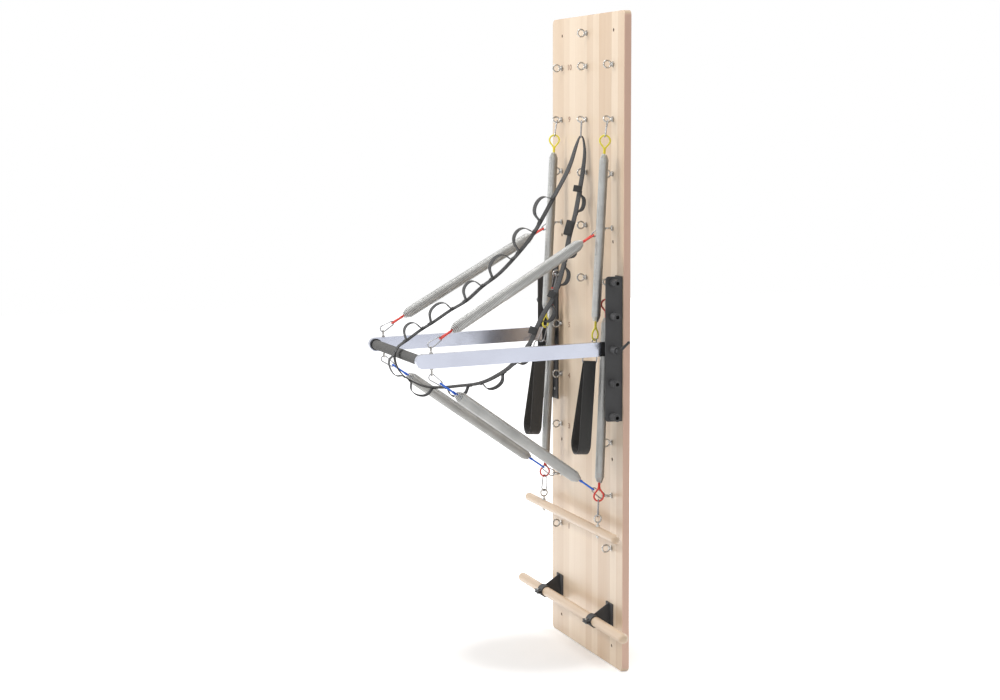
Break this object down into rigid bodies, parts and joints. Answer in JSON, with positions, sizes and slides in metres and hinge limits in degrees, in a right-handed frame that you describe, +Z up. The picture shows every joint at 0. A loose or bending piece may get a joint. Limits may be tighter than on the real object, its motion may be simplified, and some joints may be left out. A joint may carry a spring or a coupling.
{
  "type": "pilates tower unit",
  "caption": "Wall-mounted wooden exercise board with eye bolts, a sprung push-through bar, spring handles, a roll-down bar, a foot bar and a hanging strap with hand loops.",
  "frame": {"origin": "middle of the board's lower edge, on its wall face", "axes": "+Z up along the board, +Y into the wall (the front looks towards -Y), +X to the right seen from the front"},
  "size_m": [1.0198, 0.7443, 2.18],
  "materials": {
    "board_wood": "satin lacquered glued strips",
    "bar_wood": "satin lacquer",
    "eye_steel": "bright zinc",
    "zinc_steel": "zinc plated",
    "black_steel": "black powder coat",
    "arm_aluminium": "silver anodised",
    "black_plastic": "matt",
    "foam": "closed-cell foam",
    "spring_steel": "polished",
    "hook_steel": "bright",
    "red_cord": "braided cord",
    "blue_cord": "braided cord",
    "yellow_cord": "braided cord",
    "black_webbing": "woven webbing",
    "grey_webbing": "woven webbing"
  },
  "bodies": {
    "wall_board": {"board": "board_wood", "eye_bolts_left": "eye_steel", "eye_bolts_centre": "eye_steel", "eye_bolts_right": "eye_steel", "tee_nuts": "zinc_steel", "arm_bracket_left": "black_steel", "arm_bracket_right": "black_steel", "pivot_bosses_left": "black_steel", "pivot_bosses_right": "black_steel", "bracket_screws": "zinc_steel", "pivot_pins": "zinc_steel", "foot_bar": "bar_wood", "foot_clamp_left": "black_steel", "foot_clamp_right": "black_steel", "foot_clamp_screws": "zinc_steel", "foot_clamp_bolts": "zinc_steel", "loop_strap": "grey_webbing", "strap_hook": "hook_steel"},
    "push_bar": {"push_arm_left": "arm_aluminium", "push_arm_right": "arm_aluminium", "arm_block_left": "black_plastic", "arm_block_right": "black_plastic", "cross_tube": "zinc_steel", "foam_grip": "foam", "grip_collars": "black_plastic", "arm_eyes": "eye_steel"},
    "lever_left": {"clamp_lever_left": "black_plastic"},
    "lever_right": {"clamp_lever_right": "black_plastic"},
    "red_push_upper": {"red_push_coil_left": "spring_steel", "red_push_coil_right": "spring_steel", "red_push_hooks_board": "hook_steel", "red_push_loops_board": "red_cord"},
    "red_push_lower": {"red_push_hooks_arm": "hook_steel", "red_push_loops_arm": "red_cord"},
    "blue_push_upper": {"blue_push_coil_left": "spring_steel", "blue_push_coil_right": "spring_steel", "blue_push_hooks_board": "hook_steel", "blue_push_loops_board": "blue_cord"},
    "blue_push_lower": {"blue_push_hooks_arm": "hook_steel", "blue_push_loops_arm": "blue_cord"},
    "handle_spring_left": {"handle_top_hook_left": "hook_steel", "handle_top_loop_left": "yellow_cord", "handle_coil_left": "spring_steel"},
    "handle_spring_right": {"handle_top_hook_right": "hook_steel", "handle_top_loop_right": "yellow_cord", "handle_coil_right": "spring_steel"},
    "handle_left": {"handle_low_loop_left": "yellow_cord", "handle_low_hook_left": "hook_steel", "handle_strap_left": "black_webbing"},
    "handle_right": {"handle_low_loop_right": "yellow_cord", "handle_low_hook_right": "hook_steel", "handle_strap_right": "black_webbing"},
    "roll_springs": {"roll_coil_left": "spring_steel", "roll_coil_right": "spring_steel", "roll_top_hooks": "hook_steel", "roll_top_loops": "red_cord"},
    "roll_down_bar": {"roll_low_loops": "red_cord", "roll_low_hooks": "hook_steel", "roll_bar": "bar_wood", "roll_bar_eyes": "eye_steel"}
  },
  "joints": [
    {"name": "push_bar_swing", "type": "hinge", "parent": "wall_board", "child": "push_bar", "pos_m": [0, -0.0585, 1.08], "axis": [1, 0, 0], "range_deg": [-18, 18], "stiffness_Nm_per_rad": 250, "springref_deg": -4.08, "deforming": ["loop_strap"]},
    {"name": "lever_left_turn", "type": "hinge", "parent": "wall_board", "child": "lever_left", "pos_m": [-0.39, -0.0585, 1.08], "axis": [1, 0, 0], "range_deg": [-60, 60]},
    {"name": "lever_right_turn", "type": "hinge", "parent": "wall_board", "child": "lever_right", "pos_m": [0.39, -0.0585, 1.08], "axis": [1, 0, 0], "range_deg": [-60, 60]},
    {"name": "red_push_turn", "type": "hinge", "parent": "wall_board", "child": "red_push_upper", "pos_m": [0, -0.057, 1.4736], "axis": [1, 0, 0], "range_deg": [-16, 16]},
    {"name": "red_push_stretch", "type": "slide", "parent": "red_push_upper", "child": "red_push_lower", "axis": [0, -0.8577, -0.5142], "range_m": [-0.12, 0.12], "deforming": ["red_push_coil_left", "red_push_coil_right"]},
    {"name": "blue_push_turn", "type": "hinge", "parent": "wall_board", "child": "blue_push_upper", "pos_m": [0, -0.057, 0.5806], "axis": [1, 0, 0], "range_deg": [-16, 16]},
    {"name": "blue_push_stretch", "type": "slide", "parent": "blue_push_upper", "child": "blue_push_lower", "axis": [0, -0.8137, 0.5812], "range_m": [-0.14, 0.14], "deforming": ["blue_push_coil_left", "blue_push_coil_right"]},
    {"name": "handle_left_swing", "type": "hinge", "parent": "wall_board", "child": "handle_spring_left", "pos_m": [-0.2351, -0.045, 1.821], "axis": [-1, 0, 0], "range_deg": [0, 16]},
    {"name": "handle_left_pull", "type": "slide", "parent": "handle_spring_left", "child": "handle_left", "axis": [0, -0.0519, -0.9987], "range_m": [0, 0.03], "stiffness_N_per_m": 250, "springref_m": -0.06, "deforming": ["handle_coil_left"]},
    {"name": "handle_right_swing", "type": "hinge", "parent": "wall_board", "child": "handle_spring_right", "pos_m": [0.2489, -0.045, 1.821], "axis": [-1, 0, 0], "range_deg": [0, 16]},
    {"name": "handle_right_pull", "type": "slide", "parent": "handle_spring_right", "child": "handle_right", "axis": [0, -0.0519, -0.9987], "range_m": [0, 0.03], "stiffness_N_per_m": 250, "springref_m": -0.06, "deforming": ["handle_coil_right"]},
    {"name": "roll_springs_swing", "type": "hinge", "parent": "wall_board", "child": "roll_springs", "pos_m": [0, -0.045, 1.2852], "axis": [-1, 0, 0], "range_deg": [0, 6]},
    {"name": "roll_bar_pull", "type": "slide", "parent": "roll_springs", "child": "roll_down_bar", "axis": [0, -0.0427, -0.9991], "range_m": [0, 0.25], "stiffness_N_per_m": 400, "springref_m": -0.08, "deforming": ["roll_coil_left", "roll_coil_right"]}
  ],
  "couplings": [
    {"joint": "red_push_turn", "follows": "push_bar_swing", "ratio": 0.708},
    {"joint": "red_push_stretch", "follows": "push_bar_swing", "m_per_rad": 0.3485},
    {"joint": "blue_push_turn", "follows": "push_bar_swing", "ratio": 0.6106},
    {"joint": "blue_push_stretch", "follows": "push_bar_swing", "m_per_rad": -0.407}
  ]
}
